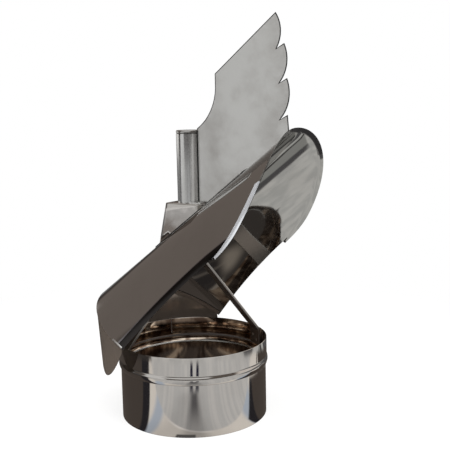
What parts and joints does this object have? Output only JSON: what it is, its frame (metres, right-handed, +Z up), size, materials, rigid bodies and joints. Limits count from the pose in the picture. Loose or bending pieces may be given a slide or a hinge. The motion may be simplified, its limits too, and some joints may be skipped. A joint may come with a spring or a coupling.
{
  "type": "chimney cap",
  "caption": "Wind-driven chimney cap: a half-round steel hood with a feathered wing turns on a bearing tube above a collar for a round flue.",
  "frame": {"origin": "centre of the collar's bottom edge, on the spindle's axis", "axes": "+Z up the spindle's axis, +X towards the hood's open mouth, the wing in the plane Y = 0"},
  "size_m": [0.3003, 0.2314, 0.523],
  "materials": {
    "collar_sheet": "bright rolled stainless sheet",
    "strap_bar": "dull flat bar",
    "turned_steel": "turned steel",
    "bearing_steel": "ground bearing steel",
    "cage_brass": "pressed brass",
    "tube_steel": "drawn tube, brushed",
    "hood_sheet": "mirror-bright stainless sheet",
    "wing_sheet": "matte stainless sheet, handled"
  },
  "bodies": {
    "base": {"collar": "collar_sheet", "spindle_strap": "strap_bar", "spindle": "turned_steel", "strap_nuts": "turned_steel", "strap_washers": "turned_steel", "spindle_crown_nut": "turned_steel", "lower_inner_race": "bearing_steel", "upper_inner_race": "bearing_steel", "inner_sleeve": "turned_steel"},
    "lower_ball_set": {"lower_balls": "bearing_steel", "lower_cage": "cage_brass"},
    "upper_ball_set": {"upper_balls": "bearing_steel", "upper_cage": "cage_brass"},
    "rotor": {"hood_scoop": "hood_sheet", "hood_apron": "hood_sheet", "bearing_bracket": "hood_sheet", "bearing_tube": "tube_steel", "tube_cap": "tube_steel", "tube_snap_rings": "turned_steel", "lower_outer_race": "bearing_steel", "upper_outer_race": "bearing_steel", "lower_shields": "turned_steel", "upper_shields": "turned_steel", "outer_sleeve": "turned_steel", "wing": "wing_sheet", "wing_toe_rivet": "turned_steel"}
  },
  "joints": [
    {"name": "hood_spin", "type": "hinge", "parent": "base", "child": "rotor", "pos_m": [0, 0, 0.3], "axis": [0, 0, 1], "continuous": true},
    {"name": "lower_ball_set_spin", "type": "hinge", "parent": "base", "child": "lower_ball_set", "pos_m": [0, 0, 0.266], "axis": [0, 0, 1], "continuous": true},
    {"name": "upper_ball_set_spin", "type": "hinge", "parent": "base", "child": "upper_ball_set", "pos_m": [0, 0, 0.3649], "axis": [0, 0, 1], "continuous": true}
  ],
  "couplings": [
    {"joint": "lower_ball_set_spin", "follows": "hood_spin", "ratio": 0.6322},
    {"joint": "upper_ball_set_spin", "follows": "hood_spin", "ratio": 0.6322}
  ]
}
